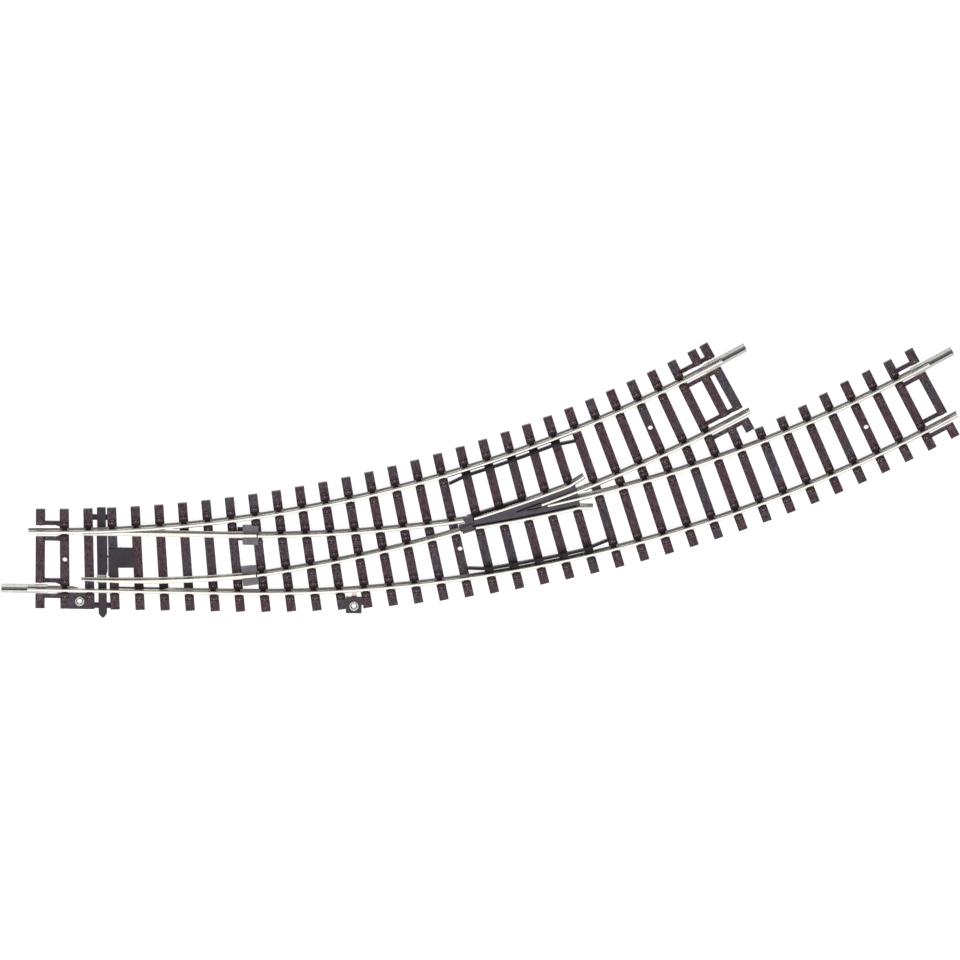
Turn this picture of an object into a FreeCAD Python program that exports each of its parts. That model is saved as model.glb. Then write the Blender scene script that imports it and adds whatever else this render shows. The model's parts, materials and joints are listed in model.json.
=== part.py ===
import FreeCAD
import Part
import Sketcher
import math
import os

# Left-hand curved turnout for 16.5 mm gauge model track.
# Millimetres, +Z up. The origin is the middle of the toe end of the track, at the underside of the
# sleepers; +X runs along the straight start of the outer route and +Y points to the inside of the curve.

V = FreeCAD.Vector
Z_AXIS = V(0, 0, 1)
doc = FreeCAD.newDocument("Turnout")

# --- driving dimensions -------------------------------------------------------------------------
sheet = doc.addObject("Spreadsheet::Sheet", "Sizes")
SIZES = [
    # alias, value, meaning
    ("curve_radius", "421.88", "centreline radius of both routes"),
    ("route_shift", "61.88", "length of straight before the outer route curves"),
    ("turn_angle", "30", "angle each route turns through, degrees"),
    ("rail_offset", "8.7", "track centreline to rail head centre"),
    ("head_half", "0.45", "half width of the rail head"),
    ("web_half", "0.3", "half thickness of the rail web"),
    ("foot_half", "1.0", "half width of the rail foot"),
    ("foot_base", "2.2", "height of the sleeper top, where a rail stands"),
    ("foot_top", "2.65", "height of the top of the rail foot"),
    ("head_base", "3.9", "height of the underside of the rail head"),
    ("rail_top", "4.7", "height of the rail top"),
    ("sleeper_width", "2.75", "width of a sleeper"),
    ("sleeper_up", "15.2", "sleeper end beyond the centreline, inner side"),
    ("sleeper_down", "14.7", "sleeper end beyond the centreline, outer side"),
    ("web_height", "1.4", "height of the webs between sleepers"),
    ("bridge_height", "0.5", "height of the webs that pass under the tie bar"),
    ("chair_top", "2.95", "height of the rail chairs"),
    ("nail_hole_radius", "0.75", "radius of the track nail holes"),
    ("eyelet_bore", "0.65", "bore radius of a feeder eyelet"),
    ("eyelet_barrel", "1.0", "outer radius of the eyelet barrel"),
    ("eyelet_flange", "1.5", "radius of the eyelet flange"),
    ("eyelet_rim", "0.35", "thickness of the eyelet flange"),
    ("blade_travel", "2.24", "travel of the tie bar"),
    ("blade_angle", "2.862", "angle the blades swing through, degrees"),
    ("heel_x", "66.7", "position of the blade pivots along the track"),
    ("bar_base", "0.65", "height of the underside of the tie bar"),
    ("bar_top", "2.0", "height of the top of the tie bar"),
    ("pin_radius", "0.45", "radius of the heel and drive pins"),
    ("pin_clearance", "0.06", "radial clearance of the heel pins"),
    ("check_half", "0.4", "half width of a check rail"),
    ("check_top", "4.6", "height of the check rails"),
    ("check_gap", "1.87", "rail head centre to check rail centre"),
    ("frog_top", "4.1", "height of the frog casting between the rails"),
    ("nose_top", "4.6", "height of the frog nose"),
    ("frog_seat", "2.75", "height of the frog slab above the rail feet"),
    ("joiner_gauge", "0.25", "thickness of the rail joiner sheet"),
    ("joiner_length", "13.8", "length of a rail joiner"),
    ("joiner_grip", "5.9", "length of a joiner that is on the rail"),
    ("lid_base", "2.2", "height of the underside of the spring cover"),
    ("lid_top", "2.65", "height of the top of the spring cover"),
    ("fit_gap", "0.08", "gap between a closed blade and its stock rail"),
]
FORMULAS = [
    ("inner_stock_r", "=curve_radius - rail_offset"),
    ("outer_stock_r", "=curve_radius + rail_offset"),
    ("upper_wing_r", "=outer_stock_r - 2.45"),
    ("lower_wing_r", "=inner_stock_r + 2.65"),
    ("inner_check_r", "=inner_stock_r + check_gap"),
    ("outer_check_r", "=outer_stock_r - check_gap"),
]
for row, (alias, value, note) in enumerate(SIZES, 1):
    sheet.set("A%d" % row, alias)
    sheet.set("B%d" % row, value)
    sheet.set("C%d" % row, note)
    sheet.setAlias("B%d" % row, alias)
for row, (alias, formula) in enumerate(FORMULAS, len(SIZES) + 1):
    sheet.set("A%d" % row, alias)
    sheet.setAlias("B%d" % row, alias)
    sheet.set("B%d" % row, formula)
doc.recompute()


def size(alias):
    return float(sheet.get(alias))


R = size("curve_radius")
SHIFT = size("route_shift")
GAUGE = size("rail_offset")
SEAT = size("foot_base")
INNER = V(0, R, 0)
OUTER = V(SHIFT, R, 0)
TURN = size("turn_angle")


# --- points on the two routes -------------------------------------------------------------------
def on_inner(angle, offset):
    """Point on the inner route: angle in degrees from the toe, offset towards the inside."""
    a = math.radians(angle)
    return V((R - offset) * math.sin(a), R - (R - offset) * math.cos(a), 0)


def on_outer(run, offset):
    """Point on the outer route: run is the length along its centreline."""
    if run <= SHIFT:
        return V(run, offset, 0)
    a = (run - SHIFT) / R
    return V(SHIFT + (R - offset) * math.sin(a), R - (R - offset) * math.cos(a), 0)


def outer_run(angle):
    return SHIFT + R * math.radians(angle)


def angle_at(x, centre, radius):
    """Angle in degrees at which an arc round centre reaches x."""
    return math.degrees(math.asin((x - centre.x) / radius))


def interpolate(n, knots):
    for (n0, v0), (n1, v1) in zip(knots, knots[1:]):
        if n <= n1:
            return v0 + (v1 - v0) * (n - n0) / (n1 - n0)
    return knots[-1][1]


# --- shape helpers ------------------------------------------------------------------------------
def prism(points, z0, z1):
    """Upright prism over a polygon."""
    base = [V(p.x, p.y, z0) for p in points]
    return Part.Face(Part.makePolygon(base + [base[0]])).extrude(V(0, 0, z1 - z0))


def ribbon(points, width, z0, z1):
    """Prism of constant width that follows a line of points."""
    left = []
    right = []
    for i, p in enumerate(points):
        ahead = points[min(i + 1, len(points) - 1)]
        behind = points[max(i - 1, 0)]
        along = (ahead - behind).normalize()
        side = V(-along.y, along.x, 0) * (width / 2.0)
        left.append(p + side)
        right.append(p - side)
    return prism(left + right[::-1], z0, z1)


def ring_sector(centre, r0, r1, start, end, z0, z1):
    """Part of a ring round a route centre, between two angles from the toe direction."""
    outline = Part.makePolygon([V(r0, 0, z0), V(r1, 0, z0), V(r1, 0, z1), V(r0, 0, z1), V(r0, 0, z0)])
    solid = Part.Face(outline).revolve(V(0, 0, 0), Z_AXIS, end - start)
    solid.rotate(V(0, 0, 0), Z_AXIS, start - 90)
    solid.translate(centre)
    return solid


def block(centre, along, length, width, z0, z1):
    """Box centred on a point in plan, with its length along a direction."""
    half = V(along).normalize() * (length / 2.0)
    return ribbon([centre - half, centre + half], width, z0, z1)


def rod(x, y, radius, z0, z1):
    return Part.makeCylinder(radius, z1 - z0, V(x, y, z0))


def feature(label, shape):
    obj = doc.addObject("Part::Feature", label)
    obj.Shape = shape
    obj.Label = label
    return obj


def cylinder(label, x, y, radius, z0, height):
    """Part::Cylinder that follows the sheet: radius and z0 are aliases, height is an expression."""
    obj = doc.addObject("Part::Cylinder", label)
    obj.setExpression("Radius", "Sizes.%s" % radius)
    obj.setExpression("Height", height)
    obj.Placement = FreeCAD.Placement(V(x, y, size(z0)), FreeCAD.Rotation())
    return obj


def cut(label, base, tool):
    obj = doc.addObject("Part::Cut", label)
    obj.Base = base
    obj.Tool = tool
    obj.Label = label
    return obj


def fuse(label, shapes):
    obj = doc.addObject("Part::MultiFuse", label)
    obj.Shapes = shapes
    obj.Label = label
    return obj


# Cross-sections: each corner is (side, half width alias, height alias).
RAIL_SECTION = [
    (-1, "foot_half", "foot_base"), (1, "foot_half", "foot_base"),
    (1, "foot_half", "foot_top"), (1, "web_half", "foot_top"),
    (1, "web_half", "head_base"), (1, "head_half", "head_base"),
    (1, "head_half", "rail_top"), (-1, "head_half", "rail_top"),
    (-1, "head_half", "head_base"), (-1, "web_half", "head_base"),
    (-1, "web_half", "foot_top"), (-1, "foot_half", "foot_top"),
]
CHECK_SECTION = [
    (-1, "check_half", "foot_base"), (1, "check_half", "foot_base"),
    (1, "check_half", "check_top"), (-1, "check_half", "check_top"),
]


def plane_of(body, role):
    for item in body.Origin.OriginFeatures:
        if item.Role == role:
            return item
    raise ValueError(role)


def section_sketch(body, name, radius, section):
    """Closed cross-section in the body's XZ plane, centred on a radius from the arc centre."""
    sketch = body.newObject("Sketcher::SketchObject", name)
    sketch.AttachmentSupport = [(plane_of(body, "XZ_Plane"), "")]
    sketch.MapMode = "FlatFace"
    corners = [V(size(radius) + side * size(half), size(z), 0) for side, half, z in section]
    count = len(corners)
    for i in range(count):
        sketch.addGeometry(Part.LineSegment(corners[i], corners[(i + 1) % count]), False)
    for i in range(count):
        sketch.addConstraint(Sketcher.Constraint("Coincident", i, 2, (i + 1) % count, 1))
    for i, (side, half, z) in enumerate(section):
        across = sketch.addConstraint(Sketcher.Constraint("DistanceX", -1, 1, i, 1, corners[i].x))
        sign = "+" if side > 0 else "-"
        sketch.setExpression("Constraints[%d]" % across, "Sizes.%s %s Sizes.%s" % (radius, sign, half))
        up = sketch.addConstraint(Sketcher.Constraint("DistanceY", -1, 1, i, 1, corners[i].y))
        sketch.setExpression("Constraints[%d]" % up, "Sizes.%s" % z)
    return sketch


def arc_body(name, centre, radius, start, end, section=RAIL_SECTION, lead=0.0):
    """Body with the section swept round a route centre; lead is straight track before the arc."""
    body = doc.addObject("PartDesign::Body", name)
    body.Placement = FreeCAD.Placement(V(centre.x, centre.y, 0), FreeCAD.Rotation(Z_AXIS, start - 90))
    body.setExpression("Placement.Base.y", "Sizes.curve_radius")
    if centre == OUTER:
        body.setExpression("Placement.Base.x", "Sizes.route_shift")
    sketch = section_sketch(body, name + "_section", radius, section)
    if lead:
        straight = body.newObject("PartDesign::Pad", name + "_straight")
        straight.Profile = sketch
        straight.Length = lead
        if lead == SHIFT:
            straight.setExpression("Length", "Sizes.route_shift")
        doc.recompute()
        sketch = section_sketch(body, name + "_arc_section", radius, section)
    sweep = body.newObject("PartDesign::Revolution", name + "_arc")
    sweep.Profile = sketch
    sweep.ReferenceAxis = (sketch, ["V_Axis"])
    sweep.Angle = end - start
    if start == 0 and end == TURN:
        sweep.setExpression("Angle", "Sizes.turn_angle")
    body.Tip = sweep
    doc.recompute()
    return body


def straight_rail(centre, along, length):
    """Short straight length of rail section, from a point along a direction."""
    half = {name: size(name) for name in ("foot_half", "web_half", "head_half")}
    points = [V(0, side * half[name], size(z)) for side, name, z in RAIL_SECTION]
    solid = Part.Face(Part.makePolygon(points + [points[0]])).extrude(V(length, 0, 0))
    solid.rotate(V(0, 0, 0), Z_AXIS, math.degrees(math.atan2(along.y, along.x)))
    solid.translate(centre)
    return solid


# --- sleepers -----------------------------------------------------------------------------------
SPLIT = 22           # from this sleeper on, a sleeper bends between the two tracks
INNER_LAST = 29      # last sleeper that carries both tracks
OUTER_LAST = 37      # last sleeper of the outer route
INNER_END_ANGLE = 29.61
INNER_KNOTS = [(0, 0.5), (20, 20.45), (29, 29.04)]
OUTER_KNOTS = [(0, 3.7), (8, 63.8), (20, 152.5), (29, 219.5), (37, 279.1)]
SHORT_ENDS = {30: 12.5, 31: 13.0, 32: 13.6, 33: 14.4}
UP = size("sleeper_up")
DOWN = -size("sleeper_down")


def sleeper_line(n):
    """Centreline of sleeper n, from its inner end to its outer end."""
    run = interpolate(n, OUTER_KNOTS)
    if n > INNER_LAST:
        return [on_outer(run, SHORT_ENDS.get(n, UP - 0.2)), on_outer(run, DOWN)]
    angle = interpolate(n, INNER_KNOTS)
    line = [on_inner(angle, UP)]
    if n >= SPLIT:
        left = 30.0 - n
        line.append(on_inner(angle - 0.025 * left, -GAUGE))
        line.append(on_outer(run - 0.137 * left, GAUGE))
    line.append(on_outer(run, DOWN))
    return line


LINES = [sleeper_line(n) for n in range(OUTER_LAST + 1)]
INNER_END_LINE = [on_inner(INNER_END_ANGLE, UP), on_inner(INNER_END_ANGLE, -14.3)]
ALL_LINES = LINES + [INNER_END_LINE]
WIDTH = size("sleeper_width")
WEB = size("web_height")

# A rail path is (centre, head-centre radius, straight y or None, first x, last x).
PATHS = {
    "inner_stock": (INNER, R - GAUGE, None, 0.0, 206.6),
    "outer_stock": (OUTER, R + GAUGE, -GAUGE, 0.0, 277.2),
    "rail_a": (OUTER, R - GAUGE, GAUGE, 68.7, 268.5),
    "rail_b": (INNER, R + GAUGE, None, 68.7, 215.3),
    "wing_upper": (INNER, size("upper_wing_r"), None, 134.0, 165.0),
    "wing_lower": (OUTER, size("lower_wing_r"), None, 135.0, 168.0),
}
RUNNING_RAILS = ("inner_stock", "outer_stock", "rail_a", "rail_b")


def side_of(path, p):
    """Signed distance of a point from a rail centre line, positive towards the inside."""
    centre, radius, level, _, _ = PATHS[path]
    if level is not None and p.x <= SHIFT:
        return p.y - level
    return radius - (V(p.x, p.y, 0) - centre).Length


def crossing(line, path):
    """Where a sleeper line crosses a rail, and the sleeper's direction there."""
    for p, q in zip(line, line[1:]):
        a, b = side_of(path, p), side_of(path, q)
        if a >= 0 > b:
            for _ in range(30):
                middle = (p + q) * 0.5
                if side_of(path, middle) >= 0:
                    p = middle
                else:
                    q = middle
            return p, (line[0] - line[-1]).normalize()
    return None


# --- base: sleepers, webs, chairs and pads in one moulding --------------------------------------
TIE_GAP = (2, 3)      # the tie bar runs between these two sleepers
CHAIR_LENGTH = 1.6
CHAIR_WIDTH = 2.3
SLOT_HALF = 1.75      # half width of the slot a rail joiner slides into

solids = [ribbon(line, WIDTH, 0, SEAT) for line in ALL_LINES]

# Runners under the rails join sleeper to sleeper; they stop at the joiners, tie bar and feeders.
RUNNER = 1.4


def runner(path, n0, n1):
    ends = []
    for n in (n0, n1):
        hit = crossing(ALL_LINES[n], path)
        if hit is None:
            return None
        ends.append(hit[0])
    centre, radius, level, _, _ = PATHS[path]
    if level is not None and ends[1].x <= SHIFT:
        return ribbon(ends, RUNNER, 0, 1.3)
    start, end = [math.degrees(math.atan2(p.x - centre.x, centre.y - p.y)) for p in ends]
    return ring_sector(centre, radius - RUNNER / 2, radius + RUNNER / 2, start, end, 0, 1.3)


HEEL_GAP = (8, 9)
NO_RUNNER = {
    "inner_stock": [(0, 1), TIE_GAP, (28, 29)],
    "outer_stock": [(0, 1), (1, 2), TIE_GAP, (12, 13), (36, 37)],
    "rail_a": [(0, 1), TIE_GAP, (3, 4), HEEL_GAP, (36, 37)] + [(n, n + 1) for n in range(1, 8)],
    "rail_b": [(0, 1), TIE_GAP, (3, 4), HEEL_GAP, (28, 29)] + [(n, n + 1) for n in range(1, 8)],
}
for path, gaps in NO_RUNNER.items():
    last = OUTER_LAST if path in ("outer_stock", "rail_a") else INNER_LAST
    for n in range(last):
        if (n, n + 1) not in gaps:
            piece = runner(path, n, n + 1)
            if piece is not None:
                solids.append(piece)


# Webs on both sides of each joiner slot tie the end sleepers to their neighbours.
def joiner_webs(place, start, end, rails):
    made = []
    for rail in rails:
        for side in (-1, 1):
            level = rail + side * (SLOT_HALF + 0.6)
            made.append(ribbon([place(start, level), place(end, level)], 1.2, 0, WEB))
    return made


TOE_RAILS = (GAUGE, -GAUGE)
solids += joiner_webs(on_outer, 3.7, 11.2, TOE_RAILS)
solids += joiner_webs(on_inner, 28.1, INNER_END_ANGLE, TOE_RAILS)
solids += joiner_webs(on_outer, 271.7, 279.1, TOE_RAILS)

# Bridges under the tie bar, near both sleeper ends.
for y in (13.0, -13.7):
    solids.append(prism([V(17.5, y - 0.85, 0), V(26, y - 0.85, 0), V(26, y + 0.85, 0), V(17.5, y + 0.85, 0)],
                        0, size("bridge_height")))
# Floor of the spring housing and seats of the two heel blocks.
solids.append(prism([V(26, -1.9, 0), V(32.5, -1.9, 0), V(32.5, 3.9, 0), V(26, 3.9, 0)], 0, 0.6))
HEEL_X = size("heel_x")
HEEL_UPPER = V(HEEL_X, R - math.sqrt((R - GAUGE) ** 2 - (HEEL_X - SHIFT) ** 2), 0)
HEEL_LOWER = V(HEEL_X, R - math.sqrt((R + GAUGE) ** 2 - HEEL_X ** 2), 0)
HEEL_TURN = math.degrees(math.asin(HEEL_X / (R + GAUGE)))
for heel in (HEEL_UPPER, HEEL_LOWER):
    solids.append(block(heel - V(0.9, 0, 0), V(1, 0, 0), 6.5, 4.0, 0, 0.9))

# Pads for the two feeder eyelets.
EYELETS = {"toe": V(15.6, -12.3, 0), "mid": V(97.8, -12.3, 0)}
PAD_TOE = [V(11, -14.7, 0), V(19, -14.7, 0), V(19, -9.9, 0), V(11, -9.9, 0)]
PAD_MID = [V(95.4, -14.6, 0), V(100.1, -14.6, 0), V(100.1, -9.8, 0), V(95.4, -9.8, 0)]
solids.append(prism(PAD_TOE, 0, SEAT))
solids.append(prism(PAD_MID, 0, SEAT))
solids.append(block(V(97.8, -11.3, 0), V(1, 0.12, 0), 8.0, 2.0, 0, SEAT))
# Raised plate beside the open blade tip.
solids.append(block(V(18.5, -3.85, 0), V(1, 0, 0), 2.6, 1.9, SEAT, SEAT + 0.2))

# Chairs hold the foot of each rail on each sleeper.
BLADE_ZONE = (2, 6)   # sleepers with a blade too close to the stock rails for chairs on that side
SHORT_CHAIR = {7: 0.9}
CHAIR_GAP = 0.2
FROG_SPAN = (129.0, 167.5)
CHECK_SPANS = {"inner_stock": (124.5, 164.0), "outer_stock": (129.5, 174.5)}
INNER_SIDE = {"inner_stock": -1, "outer_stock": 1}    # the side of a stock rail that faces its track
FROG_SIDE = {"wing_upper": -1, "wing_lower": 1}       # the side of a wing rail that faces the frog


def clear_of_rails(centre, own, reach):
    for path in RUNNING_RAILS:
        x0, x1 = PATHS[path][3:]
        if path != own and x0 - 1 < centre.x < x1 + 1 and abs(side_of(path, centre)) < reach:
            return False
    return True


def chair_length(path, side, n, centre):
    """Length of the chair on one side of a rail, or 0 where a blade, check rail or frog is there."""
    if side == INNER_SIDE.get(path):
        if BLADE_ZONE[0] <= n <= BLADE_ZONE[1]:
            return 0
        if CHECK_SPANS[path][0] < centre.x < CHECK_SPANS[path][1]:
            return 0
        return SHORT_CHAIR.get(n, CHAIR_LENGTH)
    if side == FROG_SIDE.get(path):
        return 0
    if path in ("rail_a", "rail_b") and FROG_SPAN[0] < centre.x < FROG_SPAN[1]:
        return 0
    return CHAIR_LENGTH


def has_chairs(n, path):
    """End sleepers carry joiners in place of chairs."""
    if n == INNER_LAST:
        return path in ("outer_stock", "rail_a")
    return 0 < n < OUTER_LAST


for n, line in enumerate(ALL_LINES):
    for path, (_, _, _, x0, x1) in PATHS.items():
        hit = crossing(line, path)
        if hit is None or not has_chairs(n, path) or not x0 - 0.5 < hit[0].x < x1 + 1:
            continue
        point, along = hit
        for side in (-1, 1):
            start = size("foot_half") + CHAIR_GAP
            length = chair_length(path, side, n, point + along * (side * (start + CHAIR_LENGTH / 2)))
            centre = point + along * (side * (start + length / 2))
            if length and clear_of_rails(centre, path, 1.15 + length / 2):
                solids.append(block(centre, along, length, CHAIR_WIDTH, SEAT - 0.2, size("chair_top")))

# Slots for the rail joiners, the spring arm, the eyelets and their strips.
voids = []
for rail in TOE_RAILS:
    voids.append(ribbon([on_outer(-1, rail), on_outer(6.6, rail)], 2 * SLOT_HALF, -1, 5))
    path = PATHS["inner_stock" if rail > 0 else "rail_b"]
    voids.append(ring_sector(INNER, path[1] - SLOT_HALF, path[1] + SLOT_HALF, 28.75, 31, -1, 5))
    path = PATHS["rail_a" if rail > 0 else "outer_stock"]
    voids.append(ring_sector(OUTER, path[1] - SLOT_HALF, path[1] + SLOT_HALF, 29.1, 31, -1, 5))
SPRING_POST = V(29.6, 0.42, 0)
voids.append(prism([V(23.5, -1.6, 0), V(31.0, -1.6, 0), V(31.0, 2.6, 0), V(23.5, 2.6, 0)], 0.6, 5))
for name, p in EYELETS.items():
    voids.append(rod(p.x, p.y, size("eyelet_barrel") + 0.03, -1, 5))
    voids.append(prism([p + V(-1.0, -1.6, 0), p + V(1.0, -1.6, 0), p + V(1.0, 3.9, 0), p + V(-1.0, 3.9, 0)],
                       -1, 0.65))
# Pockets for the heel blocks: the floor is let in between the sleepers, the cheeks stand on top.
for heel, turn in ((HEEL_UPPER, 0.7), (HEEL_LOWER, HEEL_TURN)):
    along = V(math.cos(math.radians(turn)), math.sin(math.radians(turn)), 0)
    voids.append(block(heel - along * 0.9, along, 3.5, 5.9, 0.92, SEAT + 0.01))
    voids.append(block(heel - along * 0.1, along, 4.7, 5.9, SEAT, 5))
moulding_shape = solids[0].multiFuse(solids[1:]).cut(voids[0].multiFuse(voids[1:]))
moulding = feature("base_moulding", moulding_shape.removeSplitter())

nail_holes = []
NAILS = [V(11.0, 0.1, 0), on_outer(SHIFT + R * math.radians(9.2), 0),
         on_inner(26.1, 0), on_outer(SHIFT + R * math.radians(26.5), 0)]
for i, p in enumerate(NAILS):
    hole = doc.addObject("Part::Cylinder", "nail_hole_%d" % (i + 1))
    hole.setExpression("Radius", "Sizes.nail_hole_radius")
    hole.Height = 8
    hole.Placement = FreeCAD.Placement(V(p.x, p.y, -2), FreeCAD.Rotation())
    nail_holes.append(hole)
post = cylinder("spring_post", SPRING_POST.x, SPRING_POST.y, "pin_radius", "bridge_height",
                "Sizes.lid_base - Sizes.bridge_height")
base = fuse("base_with_post", [moulding, post])
sleeper_base = cut("sleeper_base", base, fuse("nail_holes", nail_holes))

# --- rails ----------------------------------------------------------------------------------------
BLADE_TIP = 16.25
FOOT_CUT = (14.9, 42.0)
FOOT_TOP = size("foot_top")
HEAD = size("head_half")
FOOT = size("foot_half")
RA = R - GAUGE
RB = R + GAUGE

inner_full = arc_body("inner_stock_full", INNER, "inner_stock_r", 0, TURN)
foot_relief = feature("inner_foot_relief", ring_sector(
    INNER, RA + HEAD, RA + FOOT + 0.2, angle_at(FOOT_CUT[0], INNER, RA), angle_at(FOOT_CUT[1], INNER, RA),
    SEAT - 0.1, FOOT_TOP + 0.05))
inner_stock = cut("inner_stock_rail", inner_full, foot_relief)

outer_full = arc_body("outer_stock_full", OUTER, "outer_stock_r", 0, TURN, lead=SHIFT)
relief = doc.addObject("Part::Box", "outer_foot_relief")
relief.Length = FOOT_CUT[1] - FOOT_CUT[0]
relief.setExpression("Width", "Sizes.foot_half - Sizes.head_half + 0.2")
relief.setExpression("Height", "Sizes.foot_top - Sizes.foot_base + 0.15")
relief.Placement = FreeCAD.Placement(V(FOOT_CUT[0], -GAUGE + HEAD, SEAT - 0.1), FreeCAD.Rotation())
outer_stock = cut("outer_stock_rail", outer_full, relief)

BLADE_END = 68.4
CLOSURE_START = 68.7
closure_a = arc_body("closure_rail_a", OUTER, "inner_stock_r",
                     angle_at(CLOSURE_START, OUTER, RA), angle_at(130.2, OUTER, RA))
closure_b = arc_body("closure_rail_b", INNER, "outer_stock_r",
                     angle_at(CLOSURE_START, INNER, RB), angle_at(129.5, INNER, RB))

# Wing rails: an arc beside the frog, then a short flared end.
RW_UP = size("upper_wing_r")
RW_LOW = size("lower_wing_r")


def wing_rail(label, centre, radius, x0, x1, flare_end):
    arc = arc_body(label + "_arc", centre, radius,
                   angle_at(x0, centre, size(radius)), angle_at(x1, centre, size(radius)))
    a = math.radians(angle_at(x1 - 0.15, centre, size(radius)))
    knee = centre + V(math.sin(a), -math.cos(a), 0) * size(radius)
    along = flare_end - knee
    flare = feature(label + "_flare", straight_rail(knee, along, along.Length))
    return fuse(label, [arc, flare])


wing_upper = wing_rail("wing_rail_upper", INNER, "upper_wing_r", 133.4, 161.8, V(166.0, 28.4, 0))
wing_lower = wing_rail("wing_rail_lower", OUTER, "lower_wing_r", 134.0, 164.6, V(168.9, 19.0, 0))

# Point rails: where they close up, each loses its foot on the other's side.
point_up_full = arc_body("point_upper_full", INNER, "outer_stock_r", angle_at(153.5, INNER, RB), TURN)
vee_relief = feature("vee_relief", ring_sector(
    INNER, RB + HEAD, RB + FOOT + 0.2, angle_at(153.0, INNER, RB), angle_at(166.0, INNER, RB),
    SEAT - 0.1, FOOT_TOP + 0.05))
point_upper = cut("point_rail_upper", point_up_full, vee_relief)
point_low_full = arc_body("point_lower_full", OUTER, "inner_stock_r", angle_at(155.3, OUTER, RA), TURN)
vee_side = feature("vee_side", ring_sector(INNER, RB - 6, RB + HEAD + 0.15, 19, 25, 1, 6))
point_lower = cut("point_rail_lower", point_low_full, vee_side)

# --- frog casting ---------------------------------------------------------------------------------
SLAB = size("frog_seat")
FROG = [V(129.0, 10.0, 0), V(133.0, 8.5, 0), V(165.2, 18.2, 0), V(164.4, 22.6, 0), V(162.8, 27.5, 0),
        V(133.2, 17.5, 0), V(128.7, 15.8, 0)]


def between_wings(z0, z1, reach):
    """Frog plan between the wing rails, kept clear of their heads or feet by reach."""
    body = prism(FROG, z0, z1)
    body = body.cut(ring_sector(INNER, 380, RW_UP + reach, 10, 30, 0, 8))
    return body.cut(ring_sector(OUTER, RW_LOW - reach, 470, 0, 30, 0, 8))


def point_slots(reach):
    upper = ring_sector(INNER, RB - reach, RB + reach, angle_at(153.3, INNER, RB), 25, 0, 8)
    lower = ring_sector(OUTER, RA - reach, RA + reach, angle_at(155.1, OUTER, RA), 17, 0, 8)
    return upper.fuse(lower)


CLEAR = 0.12
slab = between_wings(SLAB, size("frog_top"), HEAD + CLEAR)
nose_plan = [V(146.2, 17.15, 0), V(153.2, 19.05, 0), V(153.1, 19.95, 0)]
nose = prism(nose_plan, SLAB, size("nose_top"))
slab = slab.fuse(nose).cut(point_slots(HEAD + CLEAR))
core = between_wings(SEAT, SLAB, FOOT + CLEAR).cut(point_slots(FOOT + CLEAR))
closures = ring_sector(OUTER, RA - FOOT - 0.1, RA + FOOT + 0.1, 8.9, angle_at(130.4, OUTER, RA), 0, 8)
closures = closures.fuse(
    ring_sector(INNER, RB - FOOT - 0.1, RB + FOOT + 0.1, 16.8, angle_at(129.7, INNER, RB), 0, 8))
knuckle_a = ring_sector(OUTER, RA - 1.0, RA + 1.0, angle_at(130.45, OUTER, RA),
                        angle_at(133.0, OUTER, RA), SEAT, size("nose_top"))
knuckle_b = ring_sector(INNER, RB - 1.0, RB + 1.0, angle_at(129.8, INNER, RB),
                        angle_at(133.6, INNER, RB), SEAT, size("nose_top"))
frog_shape = slab.fuse([core, knuckle_a, knuckle_b]).cut(closures).removeSplitter()
# The two point rails cut the casting in two: the body, and the wedge between their heads.
frog_pieces = sorted(frog_shape.Solids, key=lambda solid: solid.Volume)
if len(frog_pieces) != 2:
    raise RuntimeError("the frog has %d pieces, not 2" % len(frog_pieces))
frog_wedge = feature("frog_wedge", frog_pieces[0])
frog = feature("frog_body", frog_pieces[1])

# --- check rails ----------------------------------------------------------------------------------
CHECK = size("check_half")
CHECK_TOP = size("check_top")


def check_rail(label, centre, radius, start, end, flares, path, inward, span):
    arc = arc_body(label + "_arc", centre, radius, start, end, section=CHECK_SECTION)
    pieces = []
    for angle, (flare_angle, flare_gap) in ((start, flares[0]), (end, flares[1])):
        points = []
        for turn, r in ((angle, size(radius)), (flare_angle, size(path) + inward * flare_gap)):
            a = math.radians(turn)
            points.append(centre + V(math.sin(a), -math.cos(a), 0) * r)
        along = (points[1] - points[0]).normalize()
        pieces.append(ribbon([points[0] - along * 0.3, points[1]], 2 * CHECK, SEAT, CHECK_TOP))
    rail_name = label.replace("check_rail_", "") + "_stock"
    for line in ALL_LINES:
        hit = crossing(line, rail_name)
        if hit is None or not span[0] < hit[0].x < span[1]:
            continue
        point, along = hit
        near = point + along * (-inward * (FOOT + 0.08))
        far = point + along * (-inward * (size("check_gap") + 0.1))
        pieces.append(ribbon([near, far], CHAIR_WIDTH, SEAT, 3.2))
    return fuse(label, [arc, feature(label + "_details", pieces[0].multiFuse(pieces[1:]))])


check_inner = check_rail("check_rail_inner", INNER, "inner_check_r", 18.36, 22.2,
                         ((17.6, 2.75), (23.1, 3.05)), "inner_stock_r", 1, (127.0, 160.0))
check_outer = check_rail("check_rail_outer", OUTER, "outer_check_r", 10.17, 14.1,
                         ((9.32, 3.05), (15.16, 3.1)), "outer_stock_r", -1, (134.0, 171.0))

# --- blades ---------------------------------------------------------------------------------------
GAP = size("fit_gap")
blade_up_full = arc_body("blade_upper_full", OUTER, "inner_stock_r", 0,
                         angle_at(BLADE_END, OUTER, RA), lead=SHIFT - BLADE_TIP)
planing_up = feature("blade_upper_planing", ring_sector(INNER, RA - 5, RA + HEAD + GAP, 0, 9, 1, 6))
blade_upper = cut("blade_upper", blade_up_full, planing_up)

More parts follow.
